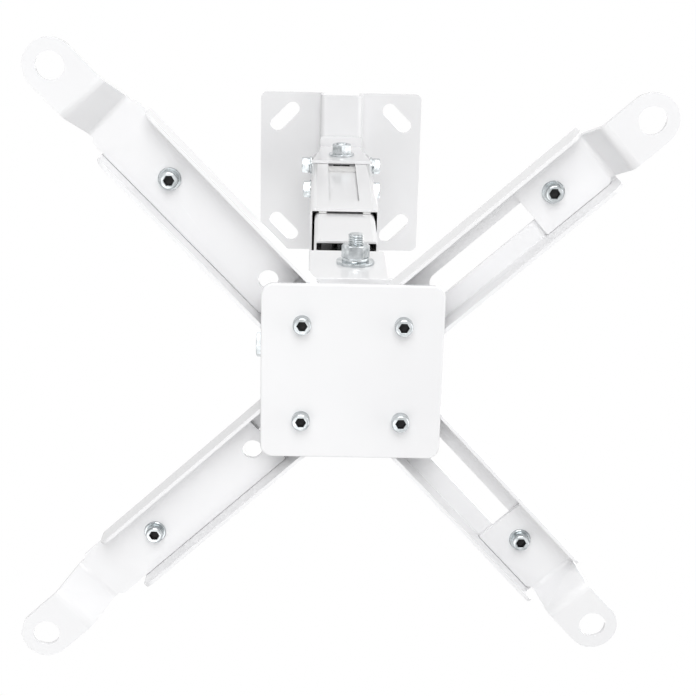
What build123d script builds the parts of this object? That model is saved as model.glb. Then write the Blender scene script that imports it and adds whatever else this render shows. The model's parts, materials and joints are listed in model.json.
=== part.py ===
"""Projector ceiling mount: a telescoping square pole between a ceiling plate and a four-armed head.

Millimetres, +Z up. The origin is the middle of the ceiling plate's upper face, so the mount hangs
below it. The front of the mount is -Y. Sheet parts are folded from steel plate.
"""
import os

from build123d import *

# Clearances
face_gap = 0.2          # between flat faces that slide or turn on each other
run_fit = 0.05          # radial, between a bolt and what turns on it
hole_gap = 0.2          # radial, round a bolt that only passes through
fit_gap = 0.2           # a side, between a piece and the tube or channel that it sits in
key_gap = 0.3           # a side, between a clamp nut's round key and the slot

# Ceiling plate
ceiling_side = 150.0
ceiling_t = 2.5
ceiling_corner = 6.0
hat_width = 38.0
hat_drop = 20.0
ceiling_slot_pitch = 105.0
ceiling_slot_width = 13.0
ceiling_slot_length = 33.0

# Swivel plate and bracket under it
swivel_plate_depth = 75.0
swivel_plate_t = 2.5
bracket_t = 2.5
bracket_top_width = 38.0
bracket_foot_width = 53.0
pivot_drop = 52.0       # bracket's upper face to the upper pivot
bracket_below_pivot = 28.0
flare_start = 8.0       # below the bracket's upper face

# Outer pole and the stiffener inside its top
pole_width = 52.5
pole_wall = 2.0
pole_corner = 5.0
pole_length = 243.0
pole_above_pivot = 25.0
pole_window_width = 23.5
pole_window_top = 47.0  # below the pole's upper end
pole_window_end = 212.0
stiffener_t = 2.5
stiffener_length = 45.0
stiffener_inset = 2.0
side_bolt_y = -17.0
side_bolt_rise = 16.0   # above the upper pivot
lock_screw_y = -7.0
lock_screw_drop = 46.0  # below the upper pivot
glide_width = 6.0
glide_length = 40.0
glide_pitch = 33.0

# Inner pole and the plug in its lower end
inner_width = 45.0
inner_depth = 45.0
inner_wall = 2.0
inner_corner = 4.0
inner_length = 279.5
inner_inset = 51.0      # the inner pole's upper end below the outer pole's
shoe_width = 32.0
shoe_height = 20.0
side_shoe_width = 14.0
side_shoe_y = 9.0       # behind the lock screws
plug_wall = 3.0
plug_depth = 35.0
plug_insert = 48.0
plug_front_cut = 27.0   # the plug's front wall starts this far below the inner pole
rivet_d = 5.0
rivet_head_d = 9.0
rivet_head_h = 1.0
rivet_depth = 14.0

# Yoke
yoke_t = 2.5
yoke_pivot_drop = 53.5  # inner pole's lower end to the lower pivot
yoke_pivot_x = 5.0
yoke_tab_width = 50.0
yoke_tab_above_pivot = 34.0
yoke_web_drop = 71.0    # lower pivot to the web's middle
plug_below_pivot = 22.0
yoke_ear_depth = 30.0
tilt_drop = 46.0        # web's middle to the tilt axis

# Head: cradle, lower plate and their screws
head_side = 100.0
head_corner = 7.0
cradle_side = 95.0
cradle_cut = 24.0       # taken off each corner, so that the arms' holes stay clear
cradle_t = 2.5
cradle_ear_depth = 32.0
tilt_height = 24.0      # tilt axis above the cradle's floor
ear_round = 13.0
lower_plate_t = 2.5
arm_pivot_pitch = 55.2
spacer_d = 10.0

# Arms
arm_width = 38.0
arm_t = 2.0
arm_flange = 20.0
arm_bend = 0.6          # inside radius of the fold
arm_reach = 138.0       # arm pivot to the outer end
arm_slot_width = 12.5
arm_slot_start = 22.0   # from the arm pivot
arm_slot_margin = 9.0   # slot's end to the arm's outer end
flange_round = 7.0

# Extensions, measured from their clamp screw
ext_t = 2.5
ext_drop = 17.5
ext_bend = 5.0          # middle radius of its folds
ext_side_gap = 0.25     # to the arm's flange
ext_bevel = 1.0         # of its upper edges, clear of the arm's folds
ext_tab_width = 29.0
ext_tab_hole = 15.0
ext_round_hole = 11.0
shoulder_round = 4.5
inner_end_round = 0.8   # at the end beside the slot
long_inner = 87.0
long_round_hole = 76.7
long_shoulder = 44.0
long_riser_start = 47.0
long_riser_end = 62.0
long_tab = 84.5
short_inner = 17.0
short_shoulder = 29.0
short_riser_start = 31.0
short_riser_end = 41.0
short_tab = 62.8

# How each arm stands: its heading in degrees, and its clamp screw's distance from the arm's outer end
front_left_heading = -134.1
front_left_inset = 34.0
front_right_heading = -42.1
front_right_inset = 31.0
rear_left_heading = 137.2
rear_left_inset = 24.0
rear_right_heading = 47.0
rear_right_inset = 30.0

# Fasteners: shank diameter, width across flats or head diameter, head height
pivot_d, pivot_af, pivot_head, pivot_nut = 10.0, 16.0, 6.4, 8.4
pivot_washer_d, pivot_washer_t, spring_washer_d, spring_washer_t = 22.5, 2.0, 18.0, 2.5
lower_washer_d = 25.0
pivot_end = 1.0         # upper pivot bolt's end beyond its nut
lower_pivot_end = 7.0
side_d, side_af, side_head = 8.0, 13.0, 5.3
side_washer_d, side_washer_t, side_spring_d, side_spring_t = 16.0, 1.6, 14.0, 2.2
plate_screw_d, plate_screw_head_d, plate_screw_head, plate_screw_socket = 6.0, 10.0, 6.0, 5.0
plate_nut_af, plate_nut = 10.0, 5.0
clamp_d, clamp_head_d, clamp_head, clamp_socket = 6.0, 10.0, 6.5, 5.0
clamp_flange_d, clamp_flange_t = 12.6, 1.3
clamp_block, clamp_block_t = 20.0, 4.0
socket_depth = 3.2
bolt_end = 1.5          # a bolt's end beyond its nut
corner_turn = 30.0      # degrees, turns a hexagon from a flat to a corner
spring_split = 1.2      # width of the cut in a spring washer
bend = 3.0              # middle radius of a fold

# Each arm's side of the head in X and Y, its heading, its clamp screw's distance from the pivot,
# and if its extension is long
arm_settings = {
    "front_left": (-1, -1, front_left_heading, arm_reach - front_left_inset, True),
    "front_right": (1, -1, front_right_heading, arm_reach - front_right_inset, False),
    "rear_left": (-1, 1, rear_left_heading, arm_reach - rear_left_inset, True),
    "rear_right": (1, 1, rear_right_heading, arm_reach - rear_right_inset, False),
}

# Heights that follow
crown_z = -hat_drop
swivel_plate_z = crown_z - face_gap - swivel_plate_t
bracket_z = swivel_plate_z
pivot_z = bracket_z - pivot_drop
pole_top = pivot_z + pole_above_pivot
pole_end = pole_top - pole_length
stiffener_top = pole_top - stiffener_inset
stiffener_end = stiffener_top - stiffener_length
inner_top = pole_top - inner_inset
inner_end = inner_top - inner_length
yoke_pivot_z = inner_end - yoke_pivot_drop
yoke_web_z = yoke_pivot_z - yoke_web_drop
tilt_z = yoke_web_z - tilt_drop
cradle_floor = tilt_z - tilt_height
arm_top = cradle_floor - cradle_t - face_gap
arm_web_under = arm_top - arm_t
flange_end = arm_top - arm_flange
lower_plate_top = flange_end - face_gap
lower_plate_under = lower_plate_top - lower_plate_t
ext_top = arm_web_under - face_gap
ext_under = ext_top - ext_t
ext_tab_under = ext_under - ext_drop

# Widths that follow
bracket_inside = pole_width + 2 * face_gap
bracket_outside = bracket_inside + 2 * bracket_t
pole_inside = pole_width - 2 * pole_wall
stiffener_width = pole_inside - 2 * fit_gap
inner_inside = inner_width - 2 * inner_wall
plug_width = inner_inside - 2 * fit_gap
yoke_inside = plug_depth + 2 * face_gap
yoke_outside = yoke_inside + 2 * yoke_t
cradle_inside = cradle_side - 2 * cradle_t
yoke_ear_outside = cradle_inside - 2 * face_gap
yoke_ear_inside = yoke_ear_outside - 2 * yoke_t
arm_inside = arm_width - 2 * arm_t
ext_width = arm_inside - 2 * ext_side_gap
play_t = (pole_inside - inner_depth) / 2 - face_gap
side_play_t = (pole_inside - inner_width) / 2 - face_gap


def folded_sheet(points, thickness, width, plane, radius=bend):
    """Sheet of one thickness folded along the middle line of points, centred on the plane."""
    section = trace(FilletPolyline(*points, radius=radius), line_width=thickness)
    return extrude(plane * section, amount=width / 2, both=True)


def square_tube(width, depth, wall, corner, length, top):
    """Rectangular tube that hangs down from the height top."""
    ring = RectangleRounded(width, depth, corner)
    ring -= RectangleRounded(width - 2 * wall, depth - 2 * wall, max(corner - wall, 0.3))
    return Pos(0, 0, top - length) * extrude(ring, amount=length)


def hex_prism(across_flats, height, turn=0.0):
    """Six-sided prism from the plane up, with its corners turned off at 30 degrees at the top."""
    prism = extrude(RegularPolygon(across_flats / 2, 6, major_radius=False, rotation=turn), amount=height)
    top_radius = 0.48 * across_flats
    foot_radius = top_radius + height * 3 ** 0.5
    turned = Cone(foot_radius, top_radius, height, align=(Align.CENTER, Align.CENTER, Align.MIN))
    return prism & turned


def rod(diameter, length):
    """Round bar from the plane down."""
    return Cylinder(diameter / 2, length, align=(Align.CENTER, Align.CENTER, Align.MAX))


def hex_bolt(diameter, across_flats, head, length, turn=0.0):
    """Bolt with the underside of its head on the plane and its shank pointing down."""
    return hex_prism(across_flats, head, turn) + rod(diameter, length)


def hex_nut(diameter, across_flats, height, turn=0.0):
    """Nut from the plane up."""
    hole = Cylinder(diameter / 2 + run_fit, 3 * height)
    return hex_prism(across_flats, height, turn) - hole


def washer(diameter, outer, thickness):
    """Ring from the plane up."""
    ring = Circle(outer / 2) - Circle(diameter / 2 + hole_gap)
    return extrude(ring, amount=thickness)


def spring_washer(diameter, outer, thickness):
    """Ring from the plane up, cut through at a slant."""
    cut = Pos(outer / 2, 0, thickness / 2) * Rot(20, 0, 0) * Box(outer, spring_split, 3 * thickness)
    return washer(diameter, outer, thickness) - cut


def socket_screw(diameter, head_d, head, socket, length):
    """Round-headed screw with a hexagon socket: the head up from the plane, the shank down."""
    cap = Cylinder(head_d / 2, head, align=(Align.CENTER, Align.CENTER, Align.MIN))
    cap = fillet(cap.edges().sort_by(Axis.Z)[-1], head * 0.2)
    recess = extrude(RegularPolygon(socket / 2, 6, major_radius=False), amount=socket_depth)
    return cap - Pos(0, 0, head - socket_depth) * recess + rod(diameter, length)


def along_y(x, y, z):
    """Place whose own up points to the front of the mount."""
    return Pos(x, y, z) * Rot(90, 0, 0)


def along_back(x, y, z):
    """Place whose own up points to the back of the mount."""
    return Pos(x, y, z) * Rot(-90, 0, 0)


def along_x(x, y, z, side):
    """Place whose own up points to +X for side 1 and to -X for side -1."""
    return Pos(x, y, z) * Rot(0, 90 * side, 0)


def hole_y(diameter, x, z, length, y=0.0):
    """Round cutter along Y."""
    return Pos(x, y, z) * Rot(90, 0, 0) * Cylinder(diameter / 2, length)


def hole_x(diameter, y, z, length, x=0.0):
    """Round cutter along X."""
    return Pos(x, y, z) * Rot(0, 90, 0) * Cylinder(diameter / 2, length)


def hole_z(diameter, x, y, z, length):
    """Round cutter along Z, centred on the height z."""
    return Pos(x, y, z) * Cylinder(diameter / 2, length)


def upright_block(outline, low, high):
    """Plan outline made into a block between two heights."""
    return Pos(0, 0, low) * extrude(outline, amount=high - low)


nodes = {}

# Ceiling plate: a square of sheet with a hat-shaped channel across its middle
wing_z = -ceiling_t / 2
crown_mid = crown_z + ceiling_t / 2
hat_mid = hat_width / 2 - ceiling_t / 2
hat_line = [
    (-ceiling_side / 2, wing_z),
    (-hat_mid, wing_z),
    (-hat_mid, crown_mid),
    (hat_mid, crown_mid),
    (hat_mid, wing_z),
    (ceiling_side / 2, wing_z),
]
ceiling_plate = folded_sheet(hat_line, ceiling_t, ceiling_side, Plane.XZ)
ceiling_plate &= upright_block(RectangleRounded(ceiling_side, ceiling_side, ceiling_corner), crown_z, 0)
for slot_x, slot_y in ((-1, -1), (1, -1), (-1, 1), (1, 1)):
    slot = SlotOverall(ceiling_slot_length, ceiling_slot_width, rotation=-45 * slot_x * slot_y)
    place = Pos(slot_x * ceiling_slot_pitch / 2, slot_y * ceiling_slot_pitch / 2, -2 * ceiling_t)
    ceiling_plate -= place * extrude(slot, amount=3 * ceiling_t)
ceiling_plate -= hole_z(pivot_d + 2 * hole_gap, 0, 0, crown_z, 4 * ceiling_t)
nodes["ceiling_plate"] = ceiling_plate

# Swivel bolt: its head in the hat, its nut under the bracket
crown_top = crown_z + ceiling_t
bracket_web_under = bracket_z - bracket_t
swivel_washer_z = bracket_web_under - face_gap - pivot_washer_t
swivel_nut_z = swivel_washer_z - pivot_nut
swivel_length = crown_top - swivel_nut_z + bolt_end
nodes["swivel_bolt"] = Pos(0, 0, crown_top) * hex_bolt(pivot_d, pivot_af, pivot_head, swivel_length)
nodes["swivel_washer"] = Pos(0, 0, swivel_washer_z) * washer(pivot_d, pivot_washer_d, pivot_washer_t)
nodes["swivel_nut"] = Pos(0, 0, swivel_washer_z) * Rot(180, 0, 0) * hex_nut(pivot_d, pivot_af, pivot_nut)

# Swivel plate and the folded bracket that carries the pole
swivel_hole = hole_z(pivot_d + 2 * run_fit, 0, 0, swivel_plate_z, 6 * swivel_plate_t)
swivel_outline = RectangleRounded(hat_width, swivel_plate_depth, ceiling_corner / 2)
swivel_plate = upright_block(swivel_outline, swivel_plate_z, swivel_plate_z + swivel_plate_t)
nodes["swivel_plate"] = swivel_plate - swivel_hole

bracket_end = pivot_z - bracket_below_pivot
wall_mid = bracket_inside / 2 + bracket_t / 2
bracket_line = [
    (-wall_mid, bracket_end),
    (-wall_mid, bracket_z - bracket_t / 2),
    (wall_mid, bracket_z - bracket_t / 2),
    (wall_mid, bracket_end),
]
bracket = folded_sheet(bracket_line, bracket_t, bracket_foot_width, Plane.YZ)
flare_top = bracket_z - flare_start
flare_mid = (flare_top + bracket_end) / 2
half_top = bracket_top_width / 2
half_foot = bracket_foot_width / 2
half_waist = half_top + 0.35 * (half_foot - half_top)
right_side = [
    Line((half_top, bracket_z), (half_top, flare_top)),
    ThreePointArc((half_top, flare_top), (half_waist, flare_mid), (half_foot, bracket_end)),
]
left_side = [mirror(edge, about=Plane.YZ) for edge in right_side]
ends = [
    Line((-half_top, bracket_z), (half_top, bracket_z)),
    Line((-half_foot, bracket_end), (half_foot, bracket_end)),
]
bracket_face = make_face(right_side + left_side + ends)
bracket &= extrude(Plane.XZ * bracket_face, amount=bracket_outside, both=True)
bracket -= swivel_hole
bracket -= hole_y(pivot_d + 2 * hole_gap, 0, pivot_z, 2 * bracket_outside)
nodes["ceiling_bracket"] = bracket

# Upper pivot bolt: its nut in front, its head behind
bracket_face_y = bracket_outside / 2
upper_grip = bracket_outside + 2 * pivot_washer_t + pivot_nut + pivot_end
upper_head_y = bracket_face_y + pivot_washer_t
nodes["upper_pivot_bolt"] = along_back(0, upper_head_y, pivot_z) * hex_bolt(
    pivot_d, pivot_af, pivot_head, upper_grip, corner_turn)
front_washer = along_y(0, -bracket_face_y, pivot_z) * washer(pivot_d, pivot_washer_d, pivot_washer_t)
back_washer = along_back(0, bracket_face_y, pivot_z) * washer(pivot_d, pivot_washer_d, pivot_washer_t)
nodes["upper_pivot_washers"] = Compound(children=[front_washer, back_washer])
upper_nut = hex_nut(pivot_d, pivot_af, pivot_nut, corner_turn)
nodes["upper_pivot_nut"] = along_y(0, -upper_head_y, pivot_z) * upper_nut

# Outer pole: square tube with a long window in its front
outer_pole = square_tube(pole_width, pole_width, pole_wall, pole_corner, pole_length, pole_top)
window_height = pole_window_end - pole_window_top
window_mid = pole_top - (pole_window_top + pole_window_end) / 2
window = RectangleRounded(pole_window_width, window_height, pole_corner / 2)
window_cutter = extrude(Plane.XZ * window, amount=pole_wall * 1.5, both=True)
outer_pole -= Pos(0, -pole_width / 2, window_mid) * window_cutter
outer_pole -= hole_y(pivot_d + 2 * run_fit, 0, pivot_z, 2 * pole_width)
side_bolt_z = pivot_z + side_bolt_rise
lock_screw_z = pivot_z - lock_screw_drop
outer_pole -= hole_x(side_d + 2 * hole_gap, side_bolt_y, side_bolt_z, 2 * pole_width)
outer_pole -= hole_x(side_d + 2 * run_fit, lock_screw_y, lock_screw_z, 2 * pole_width)
nodes["outer_pole"] = outer_pole

# Stiffener: sheet folded round the back and sides of the pole's top, inside it
cheek_mid = stiffener_width / 2 - stiffener_t / 2
stiffener_line = [
    (-cheek_mid, -stiffener_width / 2),
    (-cheek_mid, cheek_mid),
    (cheek_mid, cheek_mid),
    (cheek_mid, -stiffener_width / 2),
]
stiffener_mid = Plane.XY.offset((stiffener_top + stiffener_end) / 2)
stiffener = folded_sheet(stiffener_line, stiffener_t, stiffener_length, stiffener_mid, pole_corner)
stiffener_plan = RectangleRounded(stiffener_width, stiffener_width, pole_corner - pole_wall)
stiffener &= upright_block(stiffener_plan, stiffener_end, stiffener_top)
stiffener -= hole_y(pivot_d + 2 * run_fit, 0, pivot_z, 2 * pole_width)
stiffener -= hole_x(side_d + 2 * run_fit, side_bolt_y, side_bolt_z, 2 * pole_width)
nodes["pole_stiffener"] = stiffener

# Sleeve on the upper pivot bolt, between the pole's front wall and the stiffener
sleeve_front = -pole_inside / 2
sleeve_back = stiffener_width / 2 - stiffener_t
sleeve = Circle(pivot_d / 2 + run_fit + stiffener_t) - Circle(pivot_d / 2 + run_fit)
nodes["pivot_sleeve"] = along_y(0, sleeve_back, pivot_z) * extrude(sleeve, amount=sleeve_back - sleeve_front)

# On each side a bolt that holds the stiffener, and a screw below it that locks the inner pole
side_grip = side_washer_t + side_spring_t + pole_wall + fit_gap + stiffener_t + bolt_end
lock_grip = side_washer_t + (pole_width - inner_width) / 2 - face_gap
side_seat = pole_width / 2
side_bolts = []
side_spring_washers = []
side_washers = []
lock_screws = []
for side in (-1, 1):
    flat_ring = washer(side_d, side_washer_d, side_washer_t)
    side_washers.append(along_x(side * side_seat, side_bolt_y, side_bolt_z, side) * flat_ring)
    side_washers.append(along_x(side * side_seat, lock_screw_y, lock_screw_z, side) * flat_ring)
    flat_face_x = side * (side_seat + side_washer_t)
    spring_ring = spring_washer(side_d, side_spring_d, side_spring_t)
    side_spring_washers.append(along_x(flat_face_x, side_bolt_y, side_bolt_z, side) * spring_ring)
    head_x = flat_face_x + side * side_spring_t
    side_bolt = hex_bolt(side_d, side_af, side_head, side_grip)
    side_bolts.append(along_x(head_x, side_bolt_y, side_bolt_z, side) * side_bolt)
    lock_screw = hex_bolt(side_d, side_af, side_head, lock_grip)
    lock_screws.append(along_x(flat_face_x, lock_screw_y, lock_screw_z, side) * lock_screw)
nodes["side_bolts"] = Compound(children=side_bolts)
nodes["side_spring_washers"] = Compound(children=side_spring_washers)
nodes["side_washers"] = Compound(children=side_washers)
nodes["lock_screws"] = Compound(children=lock_screws)

# Glides: strips in the outer pole's lower end that take up the play of the inner pole
glides = []
for glide_side in (-1, 1):
    for glide_face in (-1, 1):
        strip = Box(glide_width, play_t, glide_length, align=(Align.CENTER, Align.CENTER, Align.MIN))
        glide_y = glide_face * (pole_inside / 2 - play_t / 2)
        glides.append(Pos(glide_side * glide_pitch / 2, glide_y, pole_end) * strip)
nodes["pole_glides"] = Compound(children=glides)

# Inner pole and the plug riveted into its lower end
inner_pole = square_tube(inner_width, inner_depth, inner_wall, inner_corner, inner_length, inner_top)
rivet_places = [
    (-rivet_depth / 2, inner_end + plug_insert / 3),
    (rivet_depth / 2, inner_end + 2 * plug_insert / 3),
]
for rivet_y, rivet_z in rivet_places:
    inner_pole -= hole_x(rivet_d + 2 * hole_gap, rivet_y, rivet_z, 2 * inner_width)
nodes["inner_pole"] = inner_pole

# Shoes: pads round the inner pole's upper end, which slide in the outer pole
shoes = []
for shoe_face in (-1, 1):
    pad = Box(shoe_width, play_t, shoe_height, align=(Align.CENTER, Align.CENTER, Align.MAX))
    shoes.append(Pos(0, shoe_face * (inner_depth / 2 + play_t / 2), inner_top) * pad)
    side_pad = Box(side_play_t, side_shoe_width, shoe_height, align=(Align.CENTER, Align.CENTER, Align.MAX))
    shoes.append(Pos(shoe_face * (inner_width / 2 + side_play_t / 2), side_shoe_y, inner_top) * side_pad)
nodes["pole_shoes"] = Compound(children=shoes)

plug_top = inner_end + plug_insert
plug_end = yoke_pivot_z - plug_below_pivot
plug_corner = inner_corner - inner_wall
pole_plug = square_tube(plug_width, plug_depth, plug_wall, plug_corner, plug_top - plug_end, plug_top)
front_cut_end = inner_end - plug_front_cut
front_cut = Box(plug_width - 2 * plug_wall, plug_depth / 2, 2 * (plug_top - front_cut_end))
pole_plug -= Pos(0, -plug_depth / 2, plug_top) * front_cut
pole_plug -= hole_y(pivot_d + 2 * run_fit, yoke_pivot_x, yoke_pivot_z, 2 * plug_depth)
for rivet_y, rivet_z in rivet_places:
    pole_plug -= hole_x(rivet_d + 2 * hole_gap, rivet_y, rivet_z, 2 * inner_width)
nodes["pole_plug"] = pole_plug

# Flush rivets: the flat outer head stays inside the outer pole, the formed head sits in the plug
rivets = []
rivet_length = inner_wall + fit_gap + plug_wall
for side in (-1, 1):
    for rivet_y, rivet_z in rivet_places:
        inner_head = Cylinder(rivet_head_d / 2, rivet_head_h, align=(Align.CENTER, Align.CENTER, Align.MIN))
        shank = rod(rivet_d, rivet_length)
        place = along_x(side * (plug_width / 2 - plug_wall), rivet_y, rivet_z, -side)
        rivets.append(place * (inner_head + shank))
nodes["plug_rivets"] = Compound(children=rivets)

# Yoke: a cross of sheet with two tabs folded up to the plug and two ears folded down to the tilt axis
tab_mid = yoke_inside / 2 + yoke_t / 2
tab_top = yoke_pivot_z + yoke_tab_above_pivot
tab_line = [(-tab_mid, tab_top), (-tab_mid, yoke_web_z), (tab_mid, yoke_web_z), (tab_mid, tab_top)]
ear_mid = yoke_ear_outside / 2 - yoke_t / 2
ear_end = tilt_z - ear_round
ear_line = [(-ear_mid, ear_end), (-ear_mid, yoke_web_z), (ear_mid, yoke_web_z), (ear_mid, ear_end)]
yoke_tabs = folded_sheet(tab_line, yoke_t, yoke_tab_width, Plane.YZ)
tab_height = tab_top - yoke_web_z + yoke_t
tab_face = Pos(0, tab_top - tab_height / 2) * RectangleRounded(yoke_tab_width, tab_height, yoke_t)
yoke_tabs &= extrude(Plane.XZ * tab_face, amount=yoke_outside, both=True)
yoke_ears = folded_sheet(ear_line, yoke_t, yoke_ear_depth, Plane.XZ)
ear_height = yoke_web_z + yoke_t - ear_end
ear_face = Pos(0, ear_end + ear_height / 2) * RectangleRounded(yoke_ear_depth, ear_height, 0.8 * ear_round)
ear_face += Pos(0, yoke_web_z) * Rectangle(yoke_ear_depth, 2 * ear_round)
yoke_ears &= extrude(Plane.YZ * ear_face, amount=yoke_ear_outside, both=True)
yoke = yoke_tabs + yoke_ears
yoke -= hole_y(pivot_d + 2 * hole_gap, yoke_pivot_x, yoke_pivot_z, 2 * yoke_outside)
yoke -= hole_x(side_d + 2 * run_fit, 0, tilt_z, 2 * cradle_side)
nodes["yoke"] = yoke

# Lower pivot bolt: nut, spring washer and flat washer in front, head behind
tab_face_y = yoke_outside / 2
lower_stack = pivot_washer_t + spring_washer_t
lower_head_y = tab_face_y + pivot_washer_t
lower_grip = yoke_outside + pivot_washer_t + lower_stack + pivot_nut + lower_pivot_end
nodes["lower_pivot_bolt"] = along_back(yoke_pivot_x, lower_head_y, yoke_pivot_z) * hex_bolt(
    pivot_d, pivot_af, pivot_head, lower_grip)
lower_washer = washer(pivot_d, lower_washer_d, pivot_washer_t)
front_flat = along_y(yoke_pivot_x, -tab_face_y, yoke_pivot_z) * lower_washer
back_flat = along_back(yoke_pivot_x, tab_face_y, yoke_pivot_z) * lower_washer
nodes["lower_pivot_washers"] = Compound(children=[front_flat, back_flat])
spring_y = -tab_face_y - pivot_washer_t
nodes["lower_pivot_spring_washer"] = along_y(yoke_pivot_x, spring_y, yoke_pivot_z) * spring_washer(
    pivot_d, spring_washer_d, spring_washer_t)
nodes["lower_pivot_nut"] = along_y(yoke_pivot_x, -tab_face_y - lower_stack, yoke_pivot_z) * hex_nut(
    pivot_d, pivot_af, pivot_nut)

# Tube between the yoke's ears for the tilt bolt
tube_ring = Circle(side_d / 2 + run_fit + yoke_t) - Circle(side_d / 2 + run_fit)
nodes["tilt_tube"] = along_x(-yoke_ear_inside / 2, 0, tilt_z, 1) * extrude(tube_ring, amount=yoke_ear_inside)

# Cradle: the head's upper plate, with two ears folded up to the tilt bolt
cradle_mid = cradle_side / 2 - cradle_t / 2
cradle_web = cradle_floor - cradle_t / 2
cradle_ear_top = tilt_z + ear_round
cradle_line = [
    (-cradle_mid, cradle_ear_top),
    (-cradle_mid, cradle_web),
    (cradle_mid, cradle_web),
    (cradle_mid, cradle_ear_top),
]
cradle = folded_sheet(cradle_line, cradle_t, cradle_side, Plane.XZ)
ear_base = cradle_floor - cradle_t
cradle_face = Pos(0, cradle_floor) * Rectangle(cradle_side, 2 * cradle_t)
ear_rise = cradle_ear_top - ear_base
cradle_face += Pos(0, ear_base + ear_rise / 2) * RectangleRounded(cradle_ear_depth, ear_rise, 0.8 * ear_round)
cradle_face += Pos(0, ear_base + ear_rise / 4) * Rectangle(cradle_ear_depth, ear_rise / 2)
cradle &= extrude(Plane.YZ * cradle_face, amount=cradle_side, both=True)
cradle_plan = Rectangle(cradle_side, cradle_side)
cradle_plan = chamfer(cradle_plan.vertices(), cradle_cut)
cradle &= upright_block(cradle_plan, ear_base, cradle_ear_top)
cradle -= hole_x(side_d + 2 * hole_gap, 0, tilt_z, 2 * cradle_side)
arm_pivots = {name: (sx * arm_pivot_pitch / 2, sy * arm_pivot_pitch / 2)
              for name, (sx, sy, _, _, _) in arm_settings.items()}
for pivot_x, pivot_y in arm_pivots.values():
    cradle -= hole_z(plate_screw_d + 2 * hole_gap, pivot_x, pivot_y, cradle_floor, 4 * cradle_t)
nodes["cradle"] = cradle

# Tilt bolt: head at the left, its end level with the right ear, which it is tapped into
tilt_seat = -cradle_side / 2
tilt_length = side_washer_t + cradle_side
nodes["tilt_bolt"] = along_x(tilt_seat - side_washer_t, 0, tilt_z, -1) * hex_bolt(
    side_d, side_af, side_head, tilt_length, corner_turn)
nodes["tilt_washer"] = along_x(tilt_seat, 0, tilt_z, -1) * washer(side_d, side_washer_d, side_washer_t)

# Lower plate, and the screws, spacers and nuts that hold the arms between the two plates
head_plan = RectangleRounded(head_side, head_side, head_corner)
lower_plate = upright_block(head_plan, lower_plate_under, lower_plate_top)
lower_plate = fillet(lower_plate.faces().sort_by(Axis.Z)[0].edges(), 0.4 * lower_plate_t)
plate_screws = []
plate_spacers = []
plate_nuts = []
screw_length = cradle_floor - lower_plate_under + plate_nut + bolt_end
for pivot_x, pivot_y in arm_pivots.values():
    lower_plate -= hole_z(plate_screw_d + 2 * hole_gap, pivot_x, pivot_y, lower_plate_under, 4 * lower_plate_t)
    plate_screws.append(Pos(pivot_x, pivot_y, lower_plate_under) * Rot(180, 0, 0) * socket_screw(
        plate_screw_d, plate_screw_head_d, plate_screw_head, plate_screw_socket, screw_length))
    spacer_ring = Circle(spacer_d / 2) - Circle(plate_screw_d / 2 + hole_gap)
    spacer_length = arm_web_under - face_gap - lower_plate_top
    plate_spacers.append(Pos(pivot_x, pivot_y, lower_plate_top) * extrude(spacer_ring, amount=spacer_length))
    plate_nuts.append(Pos(pivot_x, pivot_y, cradle_floor) * hex_nut(plate_screw_d, plate_nut_af, plate_nut))
nodes["lower_plate"] = lower_plate
nodes["plate_screws"] = Compound(children=plate_screws)
nodes["plate_spacers"] = Compound(children=plate_spacers)
nodes["plate_nuts"] = Compound(children=plate_nuts)


def make_arm():
    """Channel along +X from its pivot at the origin, open downwards, with a long slot in its web."""
    flange_mid = arm_width / 2 - arm_t / 2
    line = [
        (-flange_mid, flange_end),
        (-flange_mid, arm_top - arm_t / 2),
        (flange_mid, arm_top - arm_t / 2),
        (flange_mid, flange_end),
    ]
    channel = folded_sheet(line, arm_t, 2 * arm_reach, Plane.YZ, arm_bend + arm_t / 2)
    plan = Circle(arm_width / 2) + Pos(arm_reach / 2, 0) * Rectangle(arm_reach, arm_width)
    channel &= upright_block(plan, flange_end, arm_top)
    low_end = Pos(0, arm_top) * RectangleRounded(2 * arm_reach, 2 * arm_flange, flange_round)
    profile = low_end + Pos(0, arm_top - arm_flange / 4) * Rectangle(2 * arm_reach, arm_flange / 2)
    channel &= extrude(Plane.XZ * profile, amount=arm_width, both=True)
    arm_slot_end = arm_reach - arm_slot_margin
    slot_length = arm_slot_end - arm_slot_start
    slot = Pos((arm_slot_start + arm_slot_end) / 2, 0) * SlotOverall(slot_length, arm_slot_width)
    channel -= upright_block(slot, arm_web_under - arm_t, arm_top + arm_t)
    return channel - hole_z(plate_screw_d + 2 * run_fit, 0, 0, arm_top, 4 * arm_t)


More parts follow.
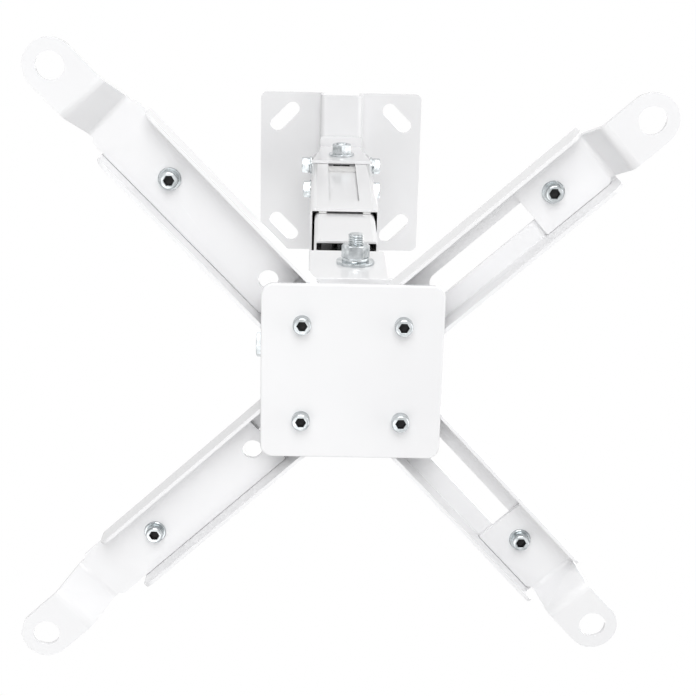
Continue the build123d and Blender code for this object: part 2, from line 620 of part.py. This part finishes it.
def make_extension(is_long):
    """Leg along +X from its clamp screw at the origin, stepped down to a tab with the projector's hole."""
    inner = long_inner if is_long else short_inner
    shoulder = long_shoulder if is_long else short_shoulder
    riser_start = long_riser_start if is_long else short_riser_start
    riser_end = long_riser_end if is_long else short_riser_end
    tab = long_tab if is_long else short_tab
    body_mid = ext_top - ext_t / 2
    tab_mid_z = ext_tab_under + ext_t / 2
    tip = tab + ext_tab_width / 2
    line = [(-inner, body_mid), (riser_start, body_mid), (riser_end, tab_mid_z), (tip, tab_mid_z)]
    leg = folded_sheet(line, ext_t, ext_width, Plane.XZ, ext_bend)
    body = Pos((shoulder - inner) / 2, 0) * RectangleRounded(shoulder + inner, ext_width, shoulder_round)
    body += Pos(-inner / 2, 0) * RectangleRounded(inner, ext_width, inner_end_round)
    neck_start = shoulder - shoulder_round
    neck = Pos((tab + neck_start) / 2, 0) * Rectangle(tab - neck_start, ext_tab_width)
    plan = body + neck + Pos(tab, 0) * Circle(ext_tab_width / 2)
    leg &= upright_block(plan, ext_tab_under, ext_top)
    bevelled = Pos(0, ext_top - ext_drop / 2) * Rectangle(ext_width, ext_drop)
    bevelled = chamfer(bevelled.vertices().group_by(Axis.Y)[-1], ext_bevel)
    bevelled += Pos(0, ext_tab_under) * Rectangle(ext_width, ext_drop)
    leg &= extrude(Plane.YZ * bevelled, amount=2 * tip + inner, both=True)
    leg -= hole_z(ext_tab_hole, tab, 0, ext_tab_under, 4 * ext_t)
    leg -= hole_z(clamp_d + 2 * hole_gap, 0, 0, ext_top, 4 * ext_t)
    if is_long:
        leg -= hole_z(ext_round_hole, -long_round_hole, 0, ext_top, 4 * ext_t)
    return leg


def make_clamp_screw():
    """Screw up through the extension and the arm's slot, its head underneath."""
    length = ext_t + face_gap + arm_t + clamp_block_t + bolt_end
    screw = socket_screw(clamp_d, clamp_head_d, clamp_head, clamp_socket, length)
    screw += Cylinder(clamp_flange_d / 2, clamp_flange_t, align=(Align.CENTER, Align.CENTER, Align.MIN))
    return Pos(0, 0, ext_under) * Rot(180, 0, 0) * screw


def make_clamp_nut():
    """Square nut on the arm's web, with a round key that slides in the slot."""
    block = RectangleRounded(clamp_block, clamp_block, shoulder_round / 2)
    nut = upright_block(block, arm_top + face_gap, arm_top + clamp_block_t)
    key = Circle(arm_slot_width / 2 - key_gap)
    nut += upright_block(key, arm_web_under + face_gap, arm_top + clamp_block_t / 2)
    return nut - hole_z(clamp_d + 2 * run_fit, 0, 0, arm_top, 8 * clamp_block_t)


# Arms, extensions and their clamps, each set as it stands
for name, (_, _, heading, clamp_reach, is_long) in arm_settings.items():
    pivot_x, pivot_y = arm_pivots[name]
    arm_place = Pos(pivot_x, pivot_y, 0) * Rot(0, 0, heading)
    clamp_place = arm_place * Pos(clamp_reach, 0, 0)
    nodes[f"arm_{name}"] = arm_place * make_arm()
    nodes[f"extension_{name}"] = clamp_place * make_extension(is_long)
    nodes[f"clamp_screw_{name}"] = clamp_place * make_clamp_screw()
    nodes[f"clamp_nut_{name}"] = clamp_place * make_clamp_nut()

os.makedirs("parts", exist_ok=True)
for name, shape in nodes.items():
    export_step(shape, f"parts/{name}.step")
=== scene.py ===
"""Looks for the projector ceiling mount: materials, turned fasteners, studio and camera."""
import json
import math

import bpy
from mathutils import Matrix, Vector

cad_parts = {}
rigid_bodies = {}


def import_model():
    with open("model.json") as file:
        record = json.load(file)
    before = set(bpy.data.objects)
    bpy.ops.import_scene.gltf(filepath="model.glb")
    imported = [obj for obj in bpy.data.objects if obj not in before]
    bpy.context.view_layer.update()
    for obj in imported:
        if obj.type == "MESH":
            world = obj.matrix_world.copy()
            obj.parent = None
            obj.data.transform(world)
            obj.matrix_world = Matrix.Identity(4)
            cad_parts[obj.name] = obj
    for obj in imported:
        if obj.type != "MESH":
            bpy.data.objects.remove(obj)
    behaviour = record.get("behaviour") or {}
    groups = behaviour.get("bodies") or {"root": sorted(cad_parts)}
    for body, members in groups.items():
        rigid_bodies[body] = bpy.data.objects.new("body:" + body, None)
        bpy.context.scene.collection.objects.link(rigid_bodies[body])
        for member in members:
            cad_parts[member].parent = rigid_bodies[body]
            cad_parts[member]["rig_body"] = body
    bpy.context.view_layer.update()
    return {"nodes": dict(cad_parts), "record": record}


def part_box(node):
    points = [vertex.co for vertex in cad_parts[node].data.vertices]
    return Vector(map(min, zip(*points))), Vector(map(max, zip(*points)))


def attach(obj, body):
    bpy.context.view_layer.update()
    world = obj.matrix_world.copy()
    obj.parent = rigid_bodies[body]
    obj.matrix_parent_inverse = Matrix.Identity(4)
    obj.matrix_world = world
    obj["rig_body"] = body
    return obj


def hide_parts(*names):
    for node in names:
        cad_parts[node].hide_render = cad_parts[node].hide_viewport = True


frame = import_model()
nodes = frame["nodes"]

MM = 0.001

# Camera: place and turn fitted to the photo, in millimetres and degrees
IMAGE_SIDE = 696
FOCAL_PIXELS = 1420.0
CAMERA_PLACE = Vector((-19.933, -247.713, -1338.528))
CAMERA_TURN = Vector((17.5476, -1.1348, 1.2006))
SENSOR = 36.0

# Fasteners, in millimetres: a thread is its diameter and pitch
PIVOT_THREAD = (10.0, 1.5)
SMALL_THREAD = (6.0, 1.0)
PIVOT_HEX = 16.0
PIVOT_HEAD = 6.4
SOCKET_HEX = 5.0
SOCKET_DEPTH = 3.2
SOCKET_CONE = 0.4
SOCKET_RIM = 0.3
# Depth below the head's top where the socket's painted shade begins
SOCKET_SHADE_FROM = 1.2
CAP_D = 10.0
CAP_NECK = 0.05
KNURL_DEPTH = 0.16
KNURL_END = 0.3
CLAMP_FLANGE = 1.3
FLANGE_EDGE = 0.1
LEG_SHEET = 2.5
ARM_PIVOT = 27.6
PLATE_THREADED = 9.0
CLAMP_THREADED = 8.0
UPPER_PIVOT_THREADED = 12.0
LOWER_PIVOT_THREADED = 20.0
SWIVEL_THREADED = 12.0

# Turned pieces: points to a ring, and the places of their two materials: zinc, and near black standing in
# for painted shade in the sockets
SEGMENTS = 48
METAL, SHADED_SOCKET = 0, 1

# Half sizes of the poles' bores and of the plug inside its white sides, painted near black as painted
# shade, in millimetres
OUTER_BORE_SHADE = (24.4, 24.4)
INNER_BORE_SHADE = (20.7, 20.7)
PLUG_INSIDE_SHADE = (20.25, 17.6)

# Rounding of the CAD nodes' edges, in millimetres and degrees
ZINC_EDGE = 0.2
PAINT_EDGE = 0.4
EDGE_ANGLE = 35
SHARP_ANGLE = 32
WELD_GAP = 0.01

# Studio, in metres and watts: the lamps face the middle of the mount
FLOOR_HEIGHT = -2.4
FLOOR_SIDE = 60.0
FLOOR_GLOW = 0.56
WORLD_LIGHT = 0.4
WORLD_SEEN = 1.0
MOUNT_MIDDLE = (0, 0, -0.4)
LAMPS = {
    "front": ((0.2, -1.8, -0.35), 2.0, 12),
    "low": ((0.0, -1.2, -1.9), 1.2, 16),
    "right": ((1.6, 0.1, -0.7), 1.8, 10),
    "rear_left": ((-0.6, 0.6, -1.7), 1.2, 4),
    "back": ((0.2, 1.8, -0.9), 1.2, 3),
    "top": ((0.4, 0.6, 1.6), 1.2, 12),
}


def new_material(name):
    """Material with a Principled shader, its node tree and that shader."""
    material = bpy.data.materials.new(name)
    material.use_nodes = True
    tree = material.node_tree
    shader = tree.nodes["Principled BSDF"]
    return material, tree, shader


def add_node(tree, kind, **values):
    """Node of a kind with its sockets set by name."""
    node = tree.nodes.new(kind)
    for key, value in values.items():
        node.inputs[key].default_value = value
    return node


def noise(tree, coords, scale, detail, roughness=0.5):
    """Noise texture over coordinates."""
    node = add_node(tree, "ShaderNodeTexNoise", Scale=scale, Detail=detail, Roughness=roughness)
    tree.links.new(coords, node.inputs["Vector"])
    return node


def ramp(tree, source, low, high, low_at=0.3, high_at=0.7):
    """Colour ramp between two colours."""
    node = tree.nodes.new("ShaderNodeValToRGB")
    node.color_ramp.elements[0].position = low_at
    node.color_ramp.elements[1].position = high_at
    node.color_ramp.elements[0].color = low
    node.color_ramp.elements[1].color = high
    tree.links.new(source, node.inputs["Fac"])
    return node


def to_range(tree, source, low, high):
    """Values from 0 to 1 mapped to a range."""
    node = add_node(tree, "ShaderNodeMapRange")
    node.inputs["To Min"].default_value = low
    node.inputs["To Max"].default_value = high
    tree.links.new(source, node.inputs["Value"])
    return node.outputs["Result"]


def seen_rays(tree):
    """1 on rays from the camera and on rays that metal and glass send on, and 0 on rays that only light."""
    path = tree.nodes.new("ShaderNodeLightPath")
    seen = path.outputs["Is Camera Ray"]
    for kind in ("Is Glossy Ray", "Is Transmission Ray"):
        larger = tree.nodes.new("ShaderNodeMath")
        larger.operation = "MAXIMUM"
        tree.links.new(seen, larger.inputs[0])
        tree.links.new(path.outputs[kind], larger.inputs[1])
        seen = larger.outputs[0]
    return seen


def bump(tree, shader, heights, distance, strength):
    """Bump on the shader from a height."""
    node = add_node(tree, "ShaderNodeBump", Strength=strength, Distance=distance)
    tree.links.new(heights, node.inputs["Height"])
    tree.links.new(node.outputs["Normal"], shader.inputs["Normal"])


def inside_mask(tree, coords, half_x, half_y):
    """1 where a point lies inside |x| < half_x and |y| < half_y, in millimetres, and 0 outside."""
    split = tree.nodes.new("ShaderNodeSeparateXYZ")
    tree.links.new(coords, split.inputs[0])
    tests = []
    for axis, half in (("X", half_x), ("Y", half_y)):
        size = tree.nodes.new("ShaderNodeMath")
        size.operation = "ABSOLUTE"
        tree.links.new(split.outputs[axis], size.inputs[0])
        less = tree.nodes.new("ShaderNodeMath")
        less.operation = "LESS_THAN"
        less.inputs[1].default_value = half * MM
        tree.links.new(size.outputs[0], less.inputs[0])
        tests.append(less.outputs[0])
    both = tree.nodes.new("ShaderNodeMath")
    both.operation = "MULTIPLY"
    tree.links.new(tests[0], both.inputs[0])
    tree.links.new(tests[1], both.inputs[1])
    return both.outputs[0]


def white_paint(name, inside=None):
    """Glossy white powder coat with a fine orange-peel skin. With inside, the tube's bore is painted near
    black as painted shade.
    """
    material, tree, shader = new_material(name)
    coords = tree.nodes.new("ShaderNodeTexCoord").outputs["Object"]
    cloud = noise(tree, coords, 14.0, 3.0)
    skin = noise(tree, coords, 420.0, 2.0)
    colour = ramp(tree, cloud.outputs["Fac"], (0.88, 0.88, 0.89, 1), (0.91, 0.91, 0.918, 1))
    colour_out = colour.outputs["Color"]
    if inside:
        mix = tree.nodes.new("ShaderNodeMix")
        mix.data_type = "RGBA"
        tree.links.new(inside_mask(tree, coords, *inside), mix.inputs["Factor"])
        tree.links.new(colour_out, mix.inputs["A"])
        # Painted shade: near black inside the bore, where only shade falls
        painted_bore_shade = ramp(tree, cloud.outputs["Fac"], (0.012, 0.012, 0.013, 1), (0.03, 0.029, 0.028, 1))
        tree.links.new(painted_bore_shade.outputs["Color"], mix.inputs["B"])
        colour_out = mix.outputs["Result"]
    tree.links.new(colour_out, shader.inputs["Base Color"])
    tree.links.new(to_range(tree, cloud.outputs["Fac"], 0.1, 0.17), shader.inputs["Roughness"])
    bump(tree, shader, skin.outputs["Fac"], 0.00002, 0.12)
    return material


def zinc_plate(name):
    """Bright zinc plate: cool, clean metal with cloudy gloss. Its strong dark to light cloud in the colour
    is partly the plating's own mottle and partly painted reflection.
    """
    material, tree, shader = new_material(name)
    coords = tree.nodes.new("ShaderNodeTexCoord").outputs["Object"]
    cloud = noise(tree, coords, 210.0, 3.0)
    grain = noise(tree, coords, 2600.0, 2.0)
    # Colour cloud from dark to light: partly plating mottle, partly painted reflection patches
    colour = ramp(tree, cloud.outputs["Fac"], (0.36, 0.385, 0.395, 1), (0.7, 0.73, 0.745, 1))
    tree.links.new(colour.outputs["Color"], shader.inputs["Base Color"])
    tree.links.new(to_range(tree, cloud.outputs["Fac"], 0.1, 0.22), shader.inputs["Roughness"])
    shader.inputs["Metallic"].default_value = 1.0
    bump(tree, shader, grain.outputs["Fac"], 0.00002, 0.3)
    return material


def nylon(name):
    """Natural nylon: milky, slightly mottled plastic."""
    material, tree, shader = new_material(name)
    coords = tree.nodes.new("ShaderNodeTexCoord").outputs["Object"]
    mottle = noise(tree, coords, 180.0, 3.0)
    colour = ramp(tree, mottle.outputs["Fac"], (0.72, 0.72, 0.71, 1), (0.82, 0.82, 0.81, 1))
    tree.links.new(colour.outputs["Color"], shader.inputs["Base Color"])
    tree.links.new(to_range(tree, mottle.outputs["Fac"], 0.4, 0.55), shader.inputs["Roughness"])
    bump(tree, shader, mottle.outputs["Fac"], 0.00005, 0.2)
    return material


def black_coat(name):
    """Near black matt material standing in for painted shade, for pieces deep inside the pole and for the
    screws' sockets.
    """
    material, tree, shader = new_material(name)
    coords = tree.nodes.new("ShaderNodeTexCoord").outputs["Object"]
    speckle = noise(tree, coords, 700.0, 3.0)
    colour = ramp(tree, speckle.outputs["Fac"], (0.008, 0.008, 0.009, 1), (0.022, 0.022, 0.023, 1))
    tree.links.new(colour.outputs["Color"], shader.inputs["Base Color"])
    tree.links.new(to_range(tree, speckle.outputs["Fac"], 0.5, 0.68), shader.inputs["Roughness"])
    shader.inputs["Specular IOR Level"].default_value = 0.3
    bump(tree, shader, speckle.outputs["Fac"], 0.00004, 0.3)
    return material


# Materials for the record's slots, and for the tubes and the plug with their insides painted near black as
# painted shade
PAINT = white_paint("white_paint")
ZINC = zinc_plate("zinc_plate")
NYLON = nylon("nylon")
# black_coat is painted shade: near black on the pieces deep inside the pole
SHADE_BLACK = black_coat("black_coat")
slot_material = {"white_paint": PAINT, "zinc_plate": ZINC, "nylon": NYLON, "black_coat": SHADE_BLACK}
node_slot = {row["node"]: row["material_slot"] for row in frame["record"]["subparts"]}
node_material = {name: slot_material[node_slot[name]] for name in nodes}
# The tubes' bores and the plug's inside get painted shade, near black
node_material["outer_pole"] = white_paint("outer_pole_paint_bore_shade", OUTER_BORE_SHADE)
node_material["inner_pole"] = white_paint("inner_pole_paint_bore_shade", INNER_BORE_SHADE)
node_material["pole_plug"] = white_paint("plug_paint_inside_shade", PLUG_INSIDE_SHADE)
for name, node in nodes.items():
    node.data.materials.clear()
    node.data.materials.append(node_material[name])


def soft_edges(node, width):
    """Rounds a CAD node's sharp edges to a width in millimetres, so that they catch the light."""
    weld = node.modifiers.new("weld", "WELD")
    weld.merge_threshold = WELD_GAP * MM
    edges = node.modifiers.new("edges", "BEVEL")
    edges.limit_method = "ANGLE"
    edges.angle_limit = math.radians(EDGE_ANGLE)
    edges.width = width * MM
    edges.segments = 2
    edges.harden_normals = True


for name, node in nodes.items():
    soft_edges(node, ZINC_EDGE if node_slot[name] == "zinc_plate" else PAINT_EDGE)


def hexagon(across_flats, widest=None):
    """Radius of a hexagon at an angle, with a corner at angle 0, turned down to a widest radius."""
    side = math.radians(60)

    def radius(angle):
        size = across_flats / 2 / math.cos(angle % side - side / 2)
        return min(size, widest) if widest else size
    return radius


def knurled(radius, depth):
    """Radius of a round head with fine grooves along it, one to each pair of segments."""
    def at(angle):
        step = round(angle / (2 * math.pi) * SEGMENTS)
        return radius - depth * (step % 2)
    return at


def thread_rows(start, end, thread):
    """Rings of a helical thread between two heights, tapered at both ends."""
    diameter, pitch = thread
    depth = 0.54 * pitch
    count = max(6, int(abs(end - start) / pitch * 8))
    rows = []
    for index in range(count + 1):
        height = start + (end - start) * index / count
        from_end = min(abs(height - start), abs(height - end)) / pitch
        crest = min(1.0, 0.3 + 1.6 * from_end)

        def radius(angle, height=height, crest=crest):
            turn = (height / pitch + angle / (2 * math.pi)) % 1.0
            ridge = 1 - abs(2 * turn - 1)
            return diameter / 2 - depth * (1 - crest * min(1.0, 1.3 * ridge))
        rows.append((height, radius, METAL))
    return rows


def hex_bolt_rows(head, length, threaded):
    """Rings of a hexagon bolt: its head up from height 0, its shank down, with a thread at its end."""
    corner = PIVOT_HEX / 3 ** 0.5
    flat = 0.475 * PIVOT_HEX
    rows = [(head - 0.15, 0.9 * flat, METAL), (head, 0.93 * flat, METAL)]
    for step in range(6):
        widest = flat + (corner - flat) * step / 5
        chamfer = (widest - flat) * math.tan(math.radians(30))
        rows.append((head - chamfer, hexagon(PIVOT_HEX, widest), METAL))
    rows.append((0.0, hexagon(PIVOT_HEX), METAL))
    rows.append((0.0, PIVOT_THREAD[0] / 2, METAL))
    rows += thread_rows(threaded - length, -length, PIVOT_THREAD)
    return rows


def cap_screw_rows(head, length, threaded, flange=None):
    """Rings of a socket screw, its head up from height 0. A flange is a diameter and a height."""
    cap = CAP_D / 2
    edge = 0.2 * head
    bottom = head - SOCKET_DEPTH
    # The socket below its top rim is painted near black as painted shade
    rows = [
        (bottom - SOCKET_CONE, SOCKET_RIM, SHADED_SOCKET),
        (bottom, hexagon(SOCKET_HEX - SOCKET_RIM), SHADED_SOCKET),
        (head - SOCKET_SHADE_FROM, hexagon(SOCKET_HEX), SHADED_SOCKET),
        (head - SOCKET_RIM, hexagon(SOCKET_HEX), METAL),
        (head, hexagon(SOCKET_HEX + 2 * SOCKET_RIM), METAL),
        (head, cap - edge, METAL),
    ]
    for step in range(1, 6):
        turn = math.radians(18 * step)
        rows.append((head - edge * (1 - math.cos(turn)), cap - edge * (1 - math.sin(turn)), METAL))
    foot = flange[1] if flange else 0.0
    rows.append((head - edge - KNURL_END, knurled(cap, KNURL_DEPTH), METAL))
    rows.append((foot + KNURL_END + 4 * CAP_NECK, knurled(cap, KNURL_DEPTH), METAL))
    rows.append((foot + KNURL_END, cap - CAP_NECK, METAL))
    rows.append((foot, cap - CAP_NECK, METAL))
    if flange:
        rim = flange[0] / 2
        rows.append((foot, rim - 5 * FLANGE_EDGE, METAL))
        rows.append((foot - 3 * FLANGE_EDGE, rim - FLANGE_EDGE, METAL))
        rows.append((foot / 2, rim, METAL))
        rows.append((0.0, rim - FLANGE_EDGE, METAL))
    rows.append((0.0, SMALL_THREAD[0] / 2, METAL))
    rows += thread_rows(threaded - length, -length, SMALL_THREAD)
    return rows


def turned_piece(name, turnings, replaced):
    """Adds one piece of turnings, each of them rings (height, radius, material) set at a place."""
    points = []
    faces = []
    slots = []
    for rows, place in turnings:
        first = len(points)
        for height, radius, _ in rows:
            for step in range(SEGMENTS):
                angle = 2 * math.pi * step / SEGMENTS
                size = radius(angle) if callable(radius) else radius
                point = Vector((size * math.cos(angle), size * math.sin(angle), height))
                points.append(place @ (point * MM))
        for row in range(len(rows) - 1):
            low = first + row * SEGMENTS
            high = low + SEGMENTS
            for step in range(SEGMENTS):
                following = (step + 1) % SEGMENTS
                faces.append((low + step, high + step, high + following, low + following))
                slots.append(rows[row + 1][2] if rows[row + 1][2] == rows[row][2] else METAL)
        last = first + (len(rows) - 1) * SEGMENTS
        faces.append([first + step for step in range(SEGMENTS)])
        slots.append(rows[0][2])
        faces.append([last + step for step in reversed(range(SEGMENTS))])
        slots.append(METAL)
    mesh = bpy.data.meshes.new(name)
    mesh.from_pydata(points, [], faces)
    mesh.materials.append(ZINC)
    # Second material: near black, painted shade inside the sockets
    mesh.materials.append(SHADE_BLACK)
    mesh.polygons.foreach_set("material_index", slots)
    mesh.shade_smooth()
    mesh.set_sharp_from_angle(angle=math.radians(SHARP_ANGLE))
    piece = bpy.data.objects.new(name, mesh)
    bpy.context.scene.collection.objects.link(piece)
    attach(piece, nodes[replaced]["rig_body"])
    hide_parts(replaced)


def middle(node):
    """Middle of a CAD node's box."""
    low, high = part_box(node)
    return (Vector(low) + Vector(high)) / 2


FACE_DOWN = Matrix.Rotation(math.pi, 4, "X")
FACE_BACK = Matrix.Rotation(-math.pi / 2, 4, "X")

# Screws of the lower plate, four in one node
plate_low, plate_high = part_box("plate_screws")
plate_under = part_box("lower_plate")[0][2]
plate_head = (plate_under - plate_low[2]) / MM
plate_length = (plate_high[2] - plate_under) / MM
plate_turnings = []
for side_x in (-1, 1):
    for side_y in (-1, 1):
        spot = Vector((side_x * ARM_PIVOT * MM, side_y * ARM_PIVOT * MM, plate_under))
        rows = cap_screw_rows(plate_head, plate_length, PLATE_THREADED)
        plate_turnings.append((rows, Matrix.Translation(spot) @ FACE_DOWN))
turned_piece("plate_screws_turned", plate_turnings, "plate_screws")

# Clamp screws, with a flange under the head
for corner in ("front_left", "front_right", "rear_left", "rear_right"):
    screw = f"clamp_screw_{corner}"
    screw_low, screw_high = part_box(screw)
    spot = middle(screw)
    spot.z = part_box(f"extension_{corner}")[1][2] - LEG_SHEET * MM
    flange = ((screw_high[0] - screw_low[0]) / MM, CLAMP_FLANGE)
    head = (spot.z - screw_low[2]) / MM
    length = (screw_high[2] - spot.z) / MM
    rows = cap_screw_rows(head, length, CLAMP_THREADED, flange)
    turned_piece(f"{screw}_turned", [(rows, Matrix.Translation(spot) @ FACE_DOWN)], screw)

# Pivot bolts along Y, their heads behind, and the swivel bolt with its head in the hat
pivot_bolts = (("upper_pivot_bolt", UPPER_PIVOT_THREADED), ("lower_pivot_bolt", LOWER_PIVOT_THREADED))
for bolt, threaded in pivot_bolts:
    bolt_low, bolt_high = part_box(bolt)
    seat = middle(bolt)
    seat.y = bolt_high[1] - PIVOT_HEAD * MM
    rows = hex_bolt_rows(PIVOT_HEAD, (seat.y - bolt_low[1]) / MM, threaded)
    turned_piece(f"{bolt}_turned", [(rows, Matrix.Translation(seat) @ FACE_BACK)], bolt)
swivel_low, swivel_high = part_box("swivel_bolt")
seat = middle("swivel_bolt")
seat.z = swivel_high[2] - PIVOT_HEAD * MM
rows = hex_bolt_rows(PIVOT_HEAD, (seat.z - swivel_low[2]) / MM, SWIVEL_THREADED)
turned_piece("swivel_bolt_turned", [(rows, Matrix.Translation(seat))], "swivel_bolt")

# Camera
angle = math.radians(CAMERA_TURN.length)
turn = Matrix.Rotation(angle, 3, CAMERA_TURN.normalized())
right, down, forward = turn[0], turn[1], turn[2]
camera_data = bpy.data.cameras.new("camera")
camera_data.sensor_width = SENSOR
camera_data.lens = SENSOR * FOCAL_PIXELS / IMAGE_SIDE
camera_data.clip_start = 0.01
camera_data.clip_end = 100.0
camera = bpy.data.objects.new("camera", camera_data)
bpy.context.scene.collection.objects.link(camera)
camera_turn = Matrix((right, -down, -forward)).transposed()
camera.matrix_world = Matrix.Translation(CAMERA_PLACE * MM) @ camera_turn.to_4x4()
bpy.context.scene.camera = camera

# Floor, far below the hanging mount, paler where it is seen
bpy.ops.mesh.primitive_plane_add(size=FLOOR_SIDE, location=(0, 0, FLOOR_HEIGHT))
floor = bpy.context.object
floor.name = "floor"
floor_material, floor_tree, floor_shader = new_material("floor")
floor_coords = floor_tree.nodes.new("ShaderNodeTexCoord").outputs["Object"]
floor_cloud = noise(floor_tree, floor_coords, 0.8, 2.0)
floor_colour = ramp(floor_tree, floor_cloud.outputs["Fac"], (0.8, 0.8, 0.8, 1), (0.84, 0.84, 0.84, 1))
floor_tree.links.new(floor_colour.outputs["Color"], floor_shader.inputs["Base Color"])
floor_shader.inputs["Roughness"].default_value = 0.7
floor_shader.inputs["Emission Color"].default_value = (1, 1, 1, 1)
floor_glow = to_range(floor_tree, seen_rays(floor_tree), 0.0, FLOOR_GLOW)
floor_tree.links.new(floor_glow, floor_shader.inputs["Emission Strength"])
floor.data.materials.append(floor_material)

# World: white where it is seen, softer where it lights
world = bpy.data.worlds.new("studio")
bpy.context.scene.world = world
world.use_nodes = True
sky = world.node_tree
background = sky.nodes["Background"]
background.inputs["Color"].default_value = (1, 1, 1, 1)
world_strength = to_range(sky, seen_rays(sky), WORLD_LIGHT, WORLD_SEEN)
sky.links.new(world_strength, background.inputs["Strength"])


def softbox(name, place, size, watts):
    """Square lamp that faces the middle of the mount."""
    data = bpy.data.lights.new(name, "AREA")
    data.shape = "SQUARE"
    data.size = size
    data.energy = watts
    lamp = bpy.data.objects.new(name, data)
    bpy.context.scene.collection.objects.link(lamp)
    lamp.location = place
    aim = Vector(MOUNT_MIDDLE) - Vector(place)
    lamp.rotation_euler = aim.to_track_quat("-Z", "Y").to_euler()
    lamp.visible_camera = False


for lamp_name, (lamp_place, lamp_size, lamp_watts) in LAMPS.items():
    softbox(lamp_name, lamp_place, lamp_size, lamp_watts)

bpy.context.scene.view_settings.view_transform = "Standard"
